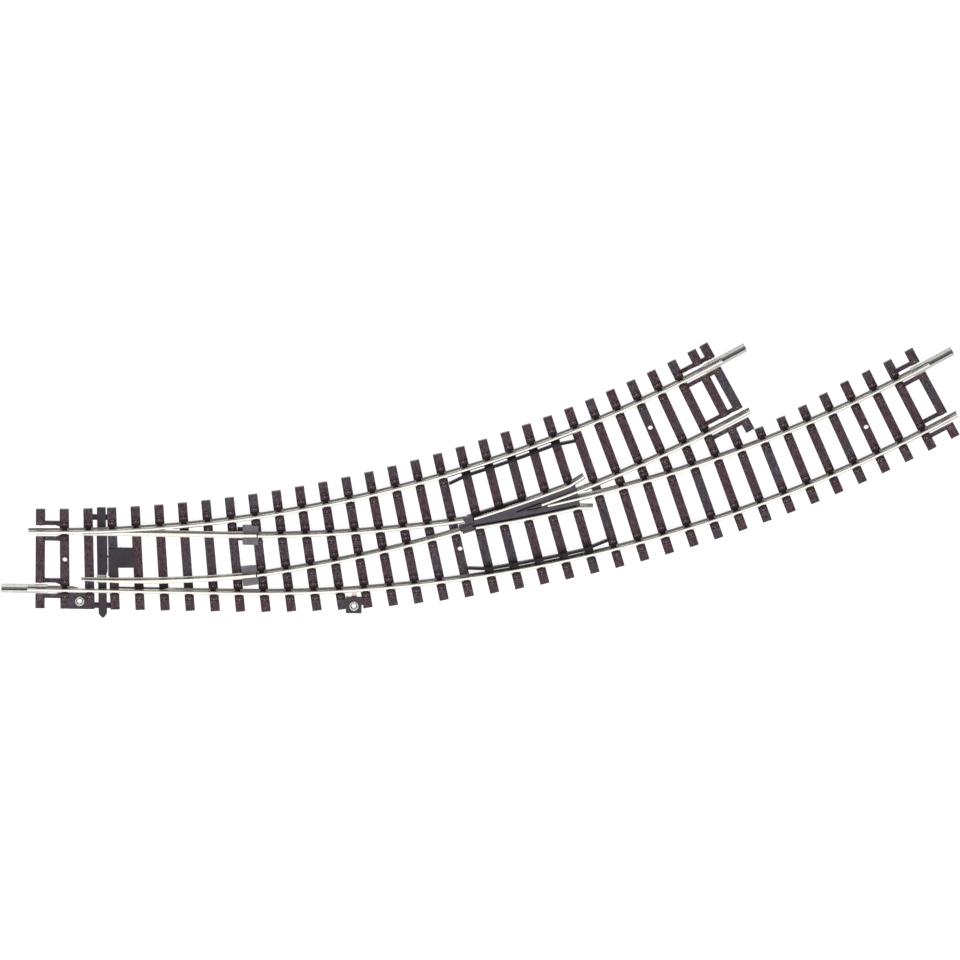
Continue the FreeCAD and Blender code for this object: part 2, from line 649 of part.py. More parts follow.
blade_low_full = arc_body("blade_lower_full", INNER, "outer_stock_r",
                          angle_at(BLADE_TIP, INNER, RB), angle_at(BLADE_END, INNER, RB))
planing_low = doc.addObject("Part::Box", "blade_lower_planing")
planing_low.Length = 60
planing_low.Width = 5
planing_low.Height = 5
planing_low.Placement = FreeCAD.Placement(V(10, -GAUGE + HEAD + GAP - 5, 1), FreeCAD.Rotation())
blade_lower = cut("blade_lower", blade_low_full, planing_low)

# The lower blade is modelled shut and set open about its heel, as the points are set for the
# outer route.
OPEN = FreeCAD.Placement(V(0, 0, 0), FreeCAD.Rotation(Z_AXIS, -size("blade_angle")), HEEL_LOWER)
blade_lower.Placement = OPEN

# --- heel blocks and pins -------------------------------------------------------------------------
BORE = size("pin_radius") + size("pin_clearance")


def heel_block(label, heel, turn):
    floor = block(V(-0.9, 0, 0), V(1, 0, 0), 3.4, 5.8, 0.95, SEAT - 0.05)
    cheeks = []
    for side in (-1, 1):
        cheeks.append(block(V(-0.1, side * 2.15, 0), V(1, 0, 0), 4.6, 1.5, SEAT + 0.02, 3.5))
        cheeks.append(block(V(-0.9, side * 2.15, 0), V(1, 0, 0), 3.4, 1.5, SEAT - 0.1, SEAT + 0.1))
    solid = floor.multiFuse(cheeks).cut(rod(0, 0, BORE, 0, 3))
    solid.rotate(V(0, 0, 0), Z_AXIS, turn)
    solid.translate(heel)
    return feature(label, solid.removeSplitter())


heel_block_upper = heel_block("heel_block_upper", HEEL_UPPER, 0.7)
heel_block_lower = heel_block("heel_block_lower", HEEL_LOWER, HEEL_TURN)
PIN = size("pin_radius")
heel_pin_upper = feature("heel_pin_upper", rod(HEEL_UPPER.x, HEEL_UPPER.y, PIN, 1.0, SEAT))
heel_pin_lower = feature("heel_pin_lower", rod(HEEL_LOWER.x, HEEL_LOWER.y, PIN, 1.0, SEAT))

# --- tie bar --------------------------------------------------------------------------------------
BAR_Z = (size("bar_base"), size("bar_top"))
BAR_LOW = V(22.66, -17.2, 0)
BAR_HIGH = V(21.71, 16.1, 0)
BAR_ALONG = (BAR_HIGH - BAR_LOW).normalize()
BAR_SIDE = V(BAR_ALONG.y, -BAR_ALONG.x, 0)


def bar_point(along, across):
    """Point on the tie bar: along from its pointed end, across to the right."""
    return BAR_LOW + BAR_ALONG * along + BAR_SIDE * across


bar_length = (BAR_HIGH - BAR_LOW).Length
bar_outline = [
    bar_point(0, -0.3), bar_point(0, 0.3), bar_point(1.2, 1.2), bar_point(13.0, 1.2),
    bar_point(14.2, 1.6), bar_point(25.0, 1.6), bar_point(26.3, 1.3), bar_point(bar_length, 1.3),
    bar_point(bar_length, -1.3), bar_point(25.1, -1.3), bar_point(25.1, -1.5), bar_point(13.0, -1.5),
    bar_point(13.0, -1.3), bar_point(1.2, -1.3),
]
DRIVE_UP = bar_point(25.95, 0)
DRIVE_LOW = bar_point(11.55, 0)
HOOK = V(21.9, 1.54, 0)
bar = prism(bar_outline, *BAR_Z)
bar = bar.cut(rod(DRIVE_UP.x, DRIVE_UP.y, PIN + 0.12, 0, 3))
bar = bar.cut(rod(DRIVE_LOW.x, DRIVE_LOW.y, PIN + 0.12, 0, 3))
bar = bar.cut(rod(HOOK.x, HOOK.y, 0.45, 1.0, 3))
bar = bar.cut(block(HOOK + V(1.2, 0, 0), V(1, 0, 0), 3.0, 1.5, 0.95, 1.6))
tie_bar = feature("tie_bar", bar)

# Drive lugs: a plate under the foot of each blade with a pin down into the tie bar.
LUG_Z = (BAR_Z[1] + 0.04, SEAT)
lug_up = block(V(21.8, 8.55, 0), V(0, 1, 0), 1.7, 2.6, *LUG_Z)
drive_lug_upper = feature("drive_lug_upper", lug_up.fuse(rod(DRIVE_UP.x, DRIVE_UP.y, PIN, 0.8, LUG_Z[1])))
lug_low = block(V(22.0, -5.4, 0), V(0, 1, 0), 2.4, 2.6, *LUG_Z)
drive_lug_lower = feature("drive_lug_lower", lug_low.fuse(rod(DRIVE_LOW.x, DRIVE_LOW.y, PIN, 0.8, LUG_Z[1])))

# --- toggle spring and its cover --------------------------------------------------------------------
SPRING_Z = (1.05, 1.5)
eye = rod(SPRING_POST.x, SPRING_POST.y, 1.0, *SPRING_Z)
arm = ribbon([SPRING_POST, HOOK], 0.5, *SPRING_Z)
tip = rod(HOOK.x, HOOK.y, 0.25, SPRING_Z[0], 1.95)
spring = eye.fuse([arm, tip]).cut(rod(SPRING_POST.x, SPRING_POST.y, PIN + 0.08, 0, 3))
toggle_spring = feature("toggle_spring", spring.removeSplitter())

LID_Z = (size("lid_base"), size("lid_top"))
lid_outline = [V(24.1, -4.5, 0), V(26.9, -4.5, 0), V(26.8, -1.95, 0), V(31.9, -1.85, 0), V(31.7, 3.95, 0),
               V(23.95, 3.85, 0)]
spring_cover = feature("spring_cover", prism(lid_outline, *LID_Z))

# --- rail joiners -----------------------------------------------------------------------------------
SHEET = size("joiner_gauge")
PLAY = 0.05
JOINER = [
    V(0, -FOOT - PLAY - SHEET, SEAT - PLAY - SHEET), V(0, FOOT + PLAY + SHEET, SEAT - PLAY - SHEET),
    V(0, FOOT + PLAY + SHEET, FOOT_TOP + PLAY + SHEET), V(0, 0.45, FOOT_TOP + PLAY + SHEET),
    V(0, 0.45, FOOT_TOP + PLAY), V(0, FOOT + PLAY, FOOT_TOP + PLAY), V(0, FOOT + PLAY, SEAT - PLAY),
    V(0, -FOOT - PLAY, SEAT - PLAY), V(0, -FOOT - PLAY, FOOT_TOP + PLAY), V(0, -0.45, FOOT_TOP + PLAY),
    V(0, -0.45, FOOT_TOP + PLAY + SHEET), V(0, -FOOT - PLAY - SHEET, FOOT_TOP + PLAY + SHEET),
]


def joiner(label, rail_end, heading):
    """Folded sheet joiner; heading is the direction out of the track in degrees."""
    length = size("joiner_length")
    solid = Part.Face(Part.makePolygon(JOINER + [JOINER[0]])).extrude(V(length, 0, 0))
    solid.translate(V(-size("joiner_grip"), 0, 0))
    solid.rotate(V(0, 0, 0), Z_AXIS, heading)
    solid.translate(rail_end)
    return feature(label, solid)


joiner_toe = joiner("rail_joiner_toe", V(0, -GAUGE, 0), 180)
joiner_inner = joiner("rail_joiner_inner", on_inner(TURN, GAUGE), TURN - 0.4)
joiner_outer = joiner("rail_joiner_outer", on_outer(outer_run(TURN), GAUGE), TURN - 0.4)


# --- feeder eyelets and strips ----------------------------------------------------------------------
def eyelet(label, p):
    flange = cylinder(label + "_flange", p.x, p.y, "eyelet_flange", "foot_base", "Sizes.eyelet_rim")
    barrel = doc.addObject("Part::Cylinder", label + "_barrel")
    barrel.setExpression("Radius", "Sizes.eyelet_barrel")
    barrel.setExpression("Height", "Sizes.foot_base - 0.05")
    barrel.Placement = FreeCAD.Placement(V(p.x, p.y, 0.3), FreeCAD.Rotation())
    bore = doc.addObject("Part::Cylinder", label + "_bore")
    bore.setExpression("Radius", "Sizes.eyelet_bore")
    bore.Height = 6
    bore.Placement = FreeCAD.Placement(V(p.x, p.y, -1), FreeCAD.Rotation())
    return cut(label, fuse(label + "_body", [flange, barrel]), bore)


def strip(label, p):
    """Thin contact strip under the eyelet, with a tab up to the foot of the stock rail."""
    rail_y = side_of("outer_stock", V(p.x, p.y, 0))
    reach = -rail_y - FOOT + 0.35
    flat = prism([p + V(-0.8, -1.3, 0), p + V(0.8, -1.3, 0), p + V(0.8, reach, 0), p + V(-0.8, reach, 0)],
                 0.05, 0.25)
    tab = prism([p + V(-0.8, reach - 0.2, 0), p + V(0.8, reach - 0.2, 0), p + V(0.8, reach, 0),
                 p + V(-0.8, reach, 0)], 0.05, SEAT)
    return feature(label, flat.fuse(tab).cut(rod(p.x, p.y, size("eyelet_bore"), -1, 3)).removeSplitter())


eyelet_toe = eyelet("feeder_eyelet_toe", EYELETS["toe"])
eyelet_mid = eyelet("feeder_eyelet_mid", EYELETS["mid"])
strip_toe = strip("feeder_strip_toe", EYELETS["toe"])
strip_mid = strip("feeder_strip_mid", EYELETS["mid"])

# --- check and write --------------------------------------------------------------------------------
PARTS = [
    sleeper_base, inner_stock, outer_stock, closure_a, closure_b, wing_upper, wing_lower, point_upper,
    point_lower, frog, frog_wedge, check_inner, check_outer, blade_upper, blade_lower, heel_block_upper,
    heel_block_lower, heel_pin_upper, heel_pin_lower, tie_bar, drive_lug_upper, drive_lug_lower,
    toggle_spring, spring_cover, joiner_toe, joiner_inner, joiner_outer, eyelet_toe, eyelet_mid,
    strip_toe, strip_mid,
]
doc.recompute()
for obj in doc.Objects:
    if "Invalid" in obj.State or "Error" in obj.State:
        raise RuntimeError("%s did not recompute: %s" % (obj.Label, obj.State))
os.makedirs("parts", exist_ok=True)
for part in PARTS:
    shape = part.Shape
    if shape.isNull() or not shape.isValid() or not shape.Solids:
        raise RuntimeError("%s has no valid solid" % part.Label)
    box = shape.BoundBox
    print("%-20s solids %2d faces %4d volume %9.2f box %.2f %.2f %.2f .. %.2f %.2f %.2f" % (
        part.Label, len(shape.Solids), len(shape.Faces), shape.Volume,
        box.XMin, box.YMin, box.ZMin, box.XMax, box.YMax, box.ZMax))
    shape.exportStep("parts/%s.step" % part.Label)
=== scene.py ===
import json
import math

import bmesh
import bpy
from mathutils import Matrix, Vector, noise


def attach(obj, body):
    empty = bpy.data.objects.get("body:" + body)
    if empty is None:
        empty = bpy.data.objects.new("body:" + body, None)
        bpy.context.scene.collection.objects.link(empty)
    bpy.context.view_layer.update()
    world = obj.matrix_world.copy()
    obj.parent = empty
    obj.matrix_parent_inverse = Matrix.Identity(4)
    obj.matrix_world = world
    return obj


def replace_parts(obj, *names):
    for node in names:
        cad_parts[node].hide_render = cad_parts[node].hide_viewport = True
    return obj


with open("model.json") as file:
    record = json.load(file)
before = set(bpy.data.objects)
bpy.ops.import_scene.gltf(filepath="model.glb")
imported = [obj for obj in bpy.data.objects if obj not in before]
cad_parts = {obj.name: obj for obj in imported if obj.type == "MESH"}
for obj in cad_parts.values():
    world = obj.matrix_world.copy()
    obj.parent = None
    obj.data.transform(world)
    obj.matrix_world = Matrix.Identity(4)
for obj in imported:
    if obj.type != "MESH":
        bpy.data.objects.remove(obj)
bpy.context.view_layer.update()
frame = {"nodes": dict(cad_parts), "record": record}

# Left-hand curved model turnout. The layout numbers below are the CAD's own, in millimetres;
# every mesh is written in metres. INNER and OUTER are the centres of the two routes' arcs, and
# GAUGE is the distance from a route's centreline to the centre of a rail head.
MM = 0.001
R = 421.88
SHIFT = 61.88
GAUGE = 8.7
SEAT = 2.2
INNER = Vector((0.0, R))
OUTER = Vector((SHIFT, R))
HEAD, FOOT = 0.45, 1.0      # half widths of a rail
TURN = math.radians(30)
WING_UP_R = R + GAUGE - 2.45
WING_LOW_R = R - GAUGE + 2.65


# --- layout ---------------------------------------------------------------------------------------
def on_inner(angle, offset):
    a = math.radians(angle)
    return Vector(((R - offset) * math.sin(a), R - (R - offset) * math.cos(a)))


def on_outer(run, offset):
    if run <= SHIFT:
        return Vector((run, offset))
    a = (run - SHIFT) / R
    return Vector((SHIFT + (R - offset) * math.sin(a), R - (R - offset) * math.cos(a)))


def interpolate(n, knots):
    for (n0, v0), (n1, v1) in zip(knots, knots[1:]):
        if n <= n1:
            return v0 + (v1 - v0) * (n - n0) / (n1 - n0)
    return knots[-1][1]


def angle_at(x, centre, radius):
    return math.asin((x - centre.x) / radius)


# Sleepers are numbered from the toe. Knots give the place of a numbered sleeper on its route, in
# degrees on the inner one and in millimetres on the outer one.
SPLIT, INNER_LAST, OUTER_LAST = 22, 29, 37
INNER_KNOTS = [(0, 0.5), (20, 20.45), (29, 29.04)]
OUTER_KNOTS = [(0, 3.7), (8, 63.8), (20, 152.5), (29, 219.5), (37, 279.1)]
# Upper ends of the sleepers that stop short of the inner route.
SHORT_ENDS = {30: 12.5, 31: 13.0, 32: 13.6, 33: 14.4}
UP, DOWN = 15.2, -14.7


def sleeper_line(n):
    run = interpolate(n, OUTER_KNOTS)
    if n > INNER_LAST:
        return [on_outer(run, SHORT_ENDS.get(n, UP - 0.2)), on_outer(run, DOWN)]
    angle = interpolate(n, INNER_KNOTS)
    line = [on_inner(angle, UP)]
    if n >= SPLIT:
        left = 30.0 - n
        line.append(on_inner(angle - 0.025 * left, -GAUGE))
        line.append(on_outer(run - 0.137 * left, GAUGE))
    line.append(on_outer(run, DOWN))
    return line


LINES = [sleeper_line(n) for n in range(OUTER_LAST + 1)]
LINES.append([on_inner(29.61, UP), on_inner(29.61, -14.3)])


# --- mesh building --------------------------------------------------------------------------------
class Mesh:
    """Collects points in millimetres and faces, then makes one object in metres."""

    def __init__(self):
        self.points = []
        self.faces = []
        self.grain = []

    def grid(self, rows, closed=False, grain=None):
        """Faces between rows of points that all have the same count."""
        first = len(self.points)
        wide = len(rows[0])
        for i, row in enumerate(rows):
            self.points.extend(row)
            self.grain.extend(grain[i] if grain else [(0, 0, 0)] * wide)
        for i in range(len(rows) - 1):
            for j in range(wide if closed else wide - 1):
                a = first + i * wide + j
                b = first + i * wide + (j + 1) % wide
                self.faces.append((a, b, b + wide, a + wide))
        return first

    def cap(self, start, count, flip=False):
        ring = list(range(start, start + count))
        self.faces.append(ring[::-1] if flip else ring)

    def build(self, name, material, body="track", smooth=40):
        mesh = bpy.data.meshes.new(name)
        mesh.from_pydata([Vector(p) * MM for p in self.points], [], self.faces)
        grain = mesh.attributes.new("grain", "FLOAT_VECTOR", "POINT")
        for item, value in zip(grain.data, self.grain):
            item.vector = value
        shape = bmesh.new()
        shape.from_mesh(mesh)
        bmesh.ops.remove_doubles(shape, verts=shape.verts, dist=1e-7)
        bmesh.ops.recalc_face_normals(shape, faces=shape.faces)
        shape.to_mesh(mesh)
        shape.free()
        mesh.shade_smooth()
        mesh.set_sharp_from_angle(angle=math.radians(smooth))
        mesh.materials.append(material)
        obj = bpy.data.objects.new(name, mesh)
        bpy.context.scene.collection.objects.link(obj)
        if body:
            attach(obj, body)
        return obj


def inset(points, distance):
    """The outline moved inwards. Points run anticlockwise."""
    moved = []
    count = len(points)
    for i, p in enumerate(points):
        a = (p - points[i - 1]).normalized()
        b = (points[(i + 1) % count] - p).normalized()
        na, nb = Vector((-a.y, a.x)), Vector((-b.y, b.x))
        moved.append(p + (na + nb) * (distance / max(0.35, 1 + na.dot(nb))))
    return moved


def anticlockwise(points):
    area = sum(points[i - 1].x * p.y - p.x * points[i - 1].y for i, p in enumerate(points))
    return list(points) if area > 0 else list(points)[::-1]


def slab(mesh, outline, z0, z1, soft=0.1, crown=0.0):
    """Prism over an outline with a rounded upper edge."""
    outline = anticlockwise(outline)
    steps = [(z0, 0.0), (z1 - soft, 0.0)]
    for k in (1, 2, 3):
        a = math.radians(30 * k)
        steps.append((z1 - soft + soft * math.sin(a), soft * (1 - math.cos(a))))
    rows = [[(p.x, p.y, z) for p in inset(outline, d)] for z, d in steps]
    first = mesh.grid(rows, closed=True, grain=[[(p[0], p[1], p[2]) for p in row] for row in rows])
    mesh.cap(first, len(outline), flip=True)
    mesh.cap(first + (len(rows) - 1) * len(outline), len(outline))


def ribbon(points, width):
    """Outline of a band that follows a line of points."""
    left, right = [], []
    for i, p in enumerate(points):
        along = (points[min(i + 1, len(points) - 1)] - points[max(i - 1, 0)]).normalized()
        side = Vector((-along.y, along.x)) * (width / 2)
        left.append(p + side)
        right.append(p - side)
    return left + right[::-1]


def rectangle(centre, along, length, width):
    half = along.normalized() * (length / 2)
    return ribbon([centre - half, centre + half], width)


def arc_points(centre, radius, a0, a1, step=2.0):
    count = max(2, int(abs(a1 - a0) * radius / step) + 1)
    return [centre + Vector((math.sin(a), -math.cos(a))) * radius
            for a in (a0 + (a1 - a0) * i / (count - 1) for i in range(count))]


# --- materials ------------------------------------------------------------------------------------
def material(name):
    """New material: its node maker, its Principled shader and a link function."""
    mat = bpy.data.materials.new(name)
    mat.use_nodes = True
    tree = mat.node_tree
    shader = tree.nodes["Principled BSDF"]

    def node(kind, **values):
        made = tree.nodes.new(kind)
        for key, value in values.items():
            if key in made.inputs:
                made.inputs[key].default_value = value
            else:
                setattr(made, key, value)
        return made

    return mat, node, shader, tree.links.new


def ramp(node, stops):
    made = node("ShaderNodeValToRGB")
    made.color_ramp.elements[0].position, made.color_ramp.elements[0].color = stops[0][0], (*stops[0][1], 1)
    made.color_ramp.elements[1].position, made.color_ramp.elements[1].color = stops[-1][0], (*stops[-1][1], 1)
    for position, colour in stops[1:-1]:
        made.color_ramp.elements.new(position).color = (*colour, 1)
    return made


def scaled(node, link, source, scale):
    mapping = node("ShaderNodeMapping")
    mapping.inputs["Scale"].default_value = scale
    link(source, mapping.inputs["Vector"])
    return mapping.outputs["Vector"]


def noise_of(node, link, vector, scale, detail=3.0, rough=0.55):
    made = node("ShaderNodeTexNoise", Scale=scale, Detail=detail, Roughness=rough)
    link(vector, made.inputs["Vector"])
    return made.outputs["Fac"]


def mixed(node, link, a, b, factor):
    """Weighted sum of two values: a + b * factor."""
    made = node("ShaderNodeMath", operation="MULTIPLY_ADD")
    link(b, made.inputs[0])
    made.inputs[1].default_value = factor
    link(a, made.inputs[2])
    return made.outputs[0]


def bumped(node, link, shader, height, distance, strength=1.0):
    bump = node("ShaderNodeBump", Strength=strength, Distance=distance)
    link(height, bump.inputs["Height"])
    link(bump.outputs["Normal"], shader.inputs["Normal"])


def sleeper_material():
    """Dark brown moulded plastic with wood grain along each sleeper and a tint that varies."""
    mat, node, shader, link = material("sleeper_plastic")
    grain = node("ShaderNodeAttribute", attribute_name="grain").outputs["Vector"]
    streaks = noise_of(node, link, scaled(node, link, grain, (0.9, 5.0, 1.0)), 1.0, 3.0, 0.6)
    specks = noise_of(node, link, scaled(node, link, grain, (3.0, 7.0, 1.0)), 1.0, 2.0, 0.6)
    tint = noise_of(node, link, scaled(node, link, grain, (0.04, 0.10, 0.43)), 1.0, 1.0, 0.5)
    brown = ramp(node, [(0.40, (0.100, 0.050, 0.066)), (0.50, (0.205, 0.118, 0.146)),
                        (0.62, (0.390, 0.270, 0.315))])
    slate = ramp(node, [(0.40, (0.088, 0.073, 0.097)), (0.50, (0.185, 0.157, 0.205)),
                        (0.62, (0.360, 0.315, 0.390))])
    tone = mixed(node, link, streaks, specks, 0.55)
    lowered = node("ShaderNodeMath", operation="SUBTRACT")
    lowered.inputs[1].default_value = 0.275
    link(tone, lowered.inputs[0])
    for colours in (brown, slate):
        link(lowered.outputs[0], colours.inputs["Fac"])
    choice = ramp(node, [(0.44, (0.0, 0.0, 0.0)), (0.62, (1.0, 1.0, 1.0))])
    link(tint, choice.inputs["Fac"])
    blend = node("ShaderNodeMix", data_type="RGBA")
    link(choice.outputs["Color"], blend.inputs[0])
    link(brown.outputs["Color"], blend.inputs[6])
    link(slate.outputs["Color"], blend.inputs[7])
    link(blend.outputs[2], shader.inputs["Base Color"])
    shader.inputs["Specular IOR Level"].default_value = 0.3
    shine = ramp(node, [(0.3, (0.50, 0.50, 0.50)), (0.7, (0.72, 0.72, 0.72))])
    link(streaks, shine.inputs["Fac"])
    link(shine.outputs["Color"], shader.inputs["Roughness"])
    bumped(node, link, shader, mixed(node, link, streaks, specks, 0.5), 0.00005, 0.6)
    return mat


def plastic(name, dark, light, rough=0.5, fine=2500.0, bump=0.00002):
    """Moulded plastic with faint cloudiness and a fine spark-eroded skin."""
    mat, node, shader, link = material(name)
    shader.inputs["Specular IOR Level"].default_value = 0.3
    place = node("ShaderNodeTexCoord").outputs["Object"]
    clouds = noise_of(node, link, place, 260.0, 3.0, 0.6)
    skin = noise_of(node, link, place, fine, 4.0, 0.65)
    colours = ramp(node, [(0.3, dark), (0.7, light)])
    link(mixed(node, link, clouds, skin, 0.35), colours.inputs["Fac"])
    link(colours.outputs["Color"], shader.inputs["Base Color"])
    shine = ramp(node, [(0.25, (rough - 0.08,) * 3), (0.75, (rough + 0.1,) * 3)])
    link(skin, shine.inputs["Fac"])
    link(shine.outputs["Color"], shader.inputs["Roughness"])
    bumped(node, link, shader, skin, bump, 0.5)
    return mat


def metal(name, bright, dull, rough=0.26, worn_top=None):
    """Drawn metal with lengthwise streaks and light tarnish; the running surface is polished."""
    mat, node, shader, link = material(name)
    place = node("ShaderNodeTexCoord").outputs["Object"]
    shader.inputs["Metallic"].default_value = 1.0
    stain = noise_of(node, link, place, 420.0, 4.0, 0.6)
    drawn = noise_of(node, link, scaled(node, link, place, (180.0, 2600.0, 5200.0)), 1.0, 2.0, 0.5)
    colours = ramp(node, [(0.25, dull), (0.7, bright)])
    tone = mixed(node, link, stain, drawn, 0.12)
    if worn_top:
        height = node("ShaderNodeSeparateXYZ")
        link(place, height.inputs[0])
        polish = node("ShaderNodeMapRange", interpolation_type="SMOOTHSTEP")
        polish.inputs["From Min"].default_value = worn_top - 0.00035
        polish.inputs["From Max"].default_value = worn_top - 0.00002
        link(height.outputs["Z"], polish.inputs["Value"])
        tone = mixed(node, link, tone, polish.outputs["Result"], 0.35)
        shine = node("ShaderNodeMapRange")
        shine.inputs["To Min"].default_value = rough + 0.06
        shine.inputs["To Max"].default_value = rough
        link(mixed(node, link, polish.outputs["Result"], drawn, 0.2), shine.inputs["Value"])
        link(shine.outputs["Result"], shader.inputs["Roughness"])
    else:
        shine = ramp(node, [(0.3, (rough - 0.05,) * 3), (0.75, (rough + 0.12,) * 3)])
        link(stain, shine.inputs["Fac"])
        link(shine.outputs["Color"], shader.inputs["Roughness"])
    link(tone, colours.inputs["Fac"])
    link(colours.outputs["Color"], shader.inputs["Base Color"])
    bumped(node, link, shader, drawn, 0.000002, 0.3)
    return mat


def sheet_metal(name, low, high):
    """Folded sheet: bright on its folded lips and darker down inside the fold, which is painted shade, with
    random stains.
    """
    mat, node, shader, link = material(name)
    place = node("ShaderNodeTexCoord").outputs["Object"]
    shader.inputs["Metallic"].default_value = 1.0
    height = node("ShaderNodeSeparateXYZ")
    link(place, height.inputs[0])
    # Painted shade: the colour runs from dark low in the fold to bright on the lips, by height.
    painted_fold_shade = node("ShaderNodeMapRange", interpolation_type="SMOOTHSTEP")
    painted_fold_shade.inputs["From Min"].default_value = low
    painted_fold_shade.inputs["From Max"].default_value = high
    link(height.outputs["Z"], painted_fold_shade.inputs["Value"])
    stain = noise_of(node, link, place, 300.0, 2.0, 0.5)
    colours = ramp(node, [(0.2, (0.20, 0.20, 0.19)), (0.75, (0.42, 0.42, 0.41)), (1.2, (0.80, 0.80, 0.78))])
    for element in colours.color_ramp.elements:
        element.position = element.position / 1.3
    tone = mixed(node, link, painted_fold_shade.outputs["Result"], stain, 0.5)
    scale = node("ShaderNodeMath", operation="MULTIPLY")
    scale.inputs[1].default_value = 1 / 1.5
    link(tone, scale.inputs[0])
    link(scale.outputs[0], colours.inputs["Fac"])
    link(colours.outputs["Color"], shader.inputs["Base Color"])
    shine = ramp(node, [(0.3, (0.22, 0.22, 0.22)), (0.75, (0.38, 0.38, 0.38))])
    link(stain, shine.inputs["Fac"])
    link(shine.outputs["Color"], shader.inputs["Roughness"])
    bumped(node, link, shader, stain, 0.000004, 0.3)
    return mat


SLEEPER = sleeper_material()
# Chairs are painted far darker than the sleeper plastic they are moulded in: painted shade around the rails.
CHAIR_PAINTED_SHADE = plastic("chair_plastic_painted_shade", (0.022, 0.012, 0.016), (0.075, 0.045, 0.052), 0.48)
# Bolt heads and their rings are painted lighter than the sleeper plastic: a painted highlight.
BOLT_PAINTED_HIGHLIGHT = plastic("bolt_plastic_painted_highlight", (0.280, 0.190, 0.205), (0.520, 0.380, 0.400), 0.42)
BAR = plastic("bar_plastic", (0.078, 0.068, 0.090), (0.137, 0.122, 0.156), 0.46)
FROG = plastic("frog_plastic", (0.155, 0.130, 0.160), (0.270, 0.236, 0.280), 0.42)
HEEL = plastic("heel_plastic", (0.330, 0.300, 0.345), (0.540, 0.495, 0.555), 0.45)
CHECK = plastic("check_plastic", (0.015, 0.011, 0.014), (0.060, 0.048, 0.055), 0.40)
RAIL = metal("nickel_silver", (0.96, 0.95, 0.90), (0.82, 0.80, 0.73), 0.20, worn_top=0.0047)
# Joiner sheet with painted shade down inside its fold.
JOINER = sheet_metal("joiner_sheet", 0.0021, 0.0029)
EYELET = metal("eyelet_plating", (0.95, 0.95, 0.93), (0.80, 0.80, 0.78), 0.16)
CONTACT = metal("contact_plating", (0.93, 0.91, 0.86), (0.80, 0.76, 0.68), 0.26)
PIN = metal("pin_steel", (0.60, 0.59, 0.56), (0.38, 0.36, 0.34), 0.30)
SPRING = metal("spring_steel", (0.12, 0.12, 0.13), (0.05, 0.05, 0.06), 0.36)

NODE_MATERIAL = {
    "sleeper": SLEEPER, "rail": RAIL, "frog": FROG, "check_rail": CHECK, "heel_block": HEEL,
    "dark_plastic": BAR, "joiner": JOINER, "eyelet": EYELET, "contact": CONTACT, "pin": PIN, "spring": SPRING,
}
SLOT_OF = {item["node"]: item["material_slot"] for item in frame["record"]["subparts"]}
BODY_OF = {name: body for body, names in frame["record"]["behaviour"]["bodies"].items() for name in names}


def paint(node_name, mat):
    obj = frame["nodes"][node_name]
    if not obj.material_slots:
        obj.data.materials.append(mat)
    for place in obj.material_slots:
        place.link = "OBJECT"
        place.material = mat


for node_name, slot_name in SLOT_OF.items():
    paint(node_name, NODE_MATERIAL[slot_name])


def carve(obj, cutter):
    """Cuts the cutter out of an object for good and removes the cutter."""
    step = obj.modifiers.new("carve", "BOOLEAN")
    step.object = cutter
    step.solver = "EXACT"
    bpy.context.view_layer.update()
    cut = bpy.data.meshes.new_from_object(obj.evaluated_get(bpy.context.evaluated_depsgraph_get()))
    obj.modifiers.clear()
    obj.data = cut
    bpy.data.objects.remove(cutter)


def refined(node_name, width, segments=2, cutter=None):
    """Copy of a CAD node with rounded edges, which stands for it; a cutter is taken out of it first."""
    source = frame["nodes"][node_name]
    mesh = source.data.copy()
    shape = bmesh.new()
    shape.from_mesh(mesh)
    bmesh.ops.remove_doubles(shape, verts=shape.verts, dist=2e-6)
    bmesh.ops.dissolve_limit(shape, angle_limit=math.radians(0.4), verts=shape.verts, edges=shape.edges)
    shape.to_mesh(mesh)
    shape.free()
    mesh.materials.clear()
    mesh.materials.append(NODE_MATERIAL[SLOT_OF[node_name]])
    mesh.shade_smooth()
    mesh.set_sharp_from_angle(angle=math.radians(35))
    obj = bpy.data.objects.new(node_name + "_finished", mesh)
    bpy.context.scene.collection.objects.link(obj)
    if cutter:
        carve(obj, cutter)
    bevel = obj.modifiers.new("edges", "BEVEL")
    bevel.width = width * MM
    bevel.segments = segments
    bevel.limit_method = "ANGLE"
    bevel.angle_limit = math.radians(35)
    bevel.use_clamp_overlap = True
    bevel.harden_normals = True
    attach(obj, BODY_OF[node_name])
    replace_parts(obj, node_name)
    return obj


# --- camera, light and floor ----------------------------------------------------------------------
TILT = math.radians(8.5)
ROLL = math.radians(0.985)
TARGET = Vector((0.13493, 0.02685, 0.0047))
VIEW_WIDTH = 0.2870
LENS = 400.0
toward_top = Vector((-math.sin(ROLL), math.cos(ROLL), 0))
to_camera = toward_top * math.sin(TILT) + Vector((0, 0, 1)) * math.cos(TILT)
picture_up = toward_top * math.cos(TILT) - Vector((0, 0, 1)) * math.sin(TILT)
picture_right = picture_up.cross(to_camera)

camera_data = bpy.data.cameras.new("camera")
camera_data.lens = LENS
camera_data.sensor_width = 36.0
camera_data.clip_start = 0.05
camera_data.clip_end = 50.0
camera = bpy.data.objects.new("camera", camera_data)
bpy.context.scene.collection.objects.link(camera)
camera.matrix_world = Matrix.Translation(TARGET + to_camera * (VIEW_WIDTH * LENS / 36.0)) @ Matrix(
    (picture_right, picture_up, to_camera)).transposed().to_4x4()
bpy.context.scene.camera = camera


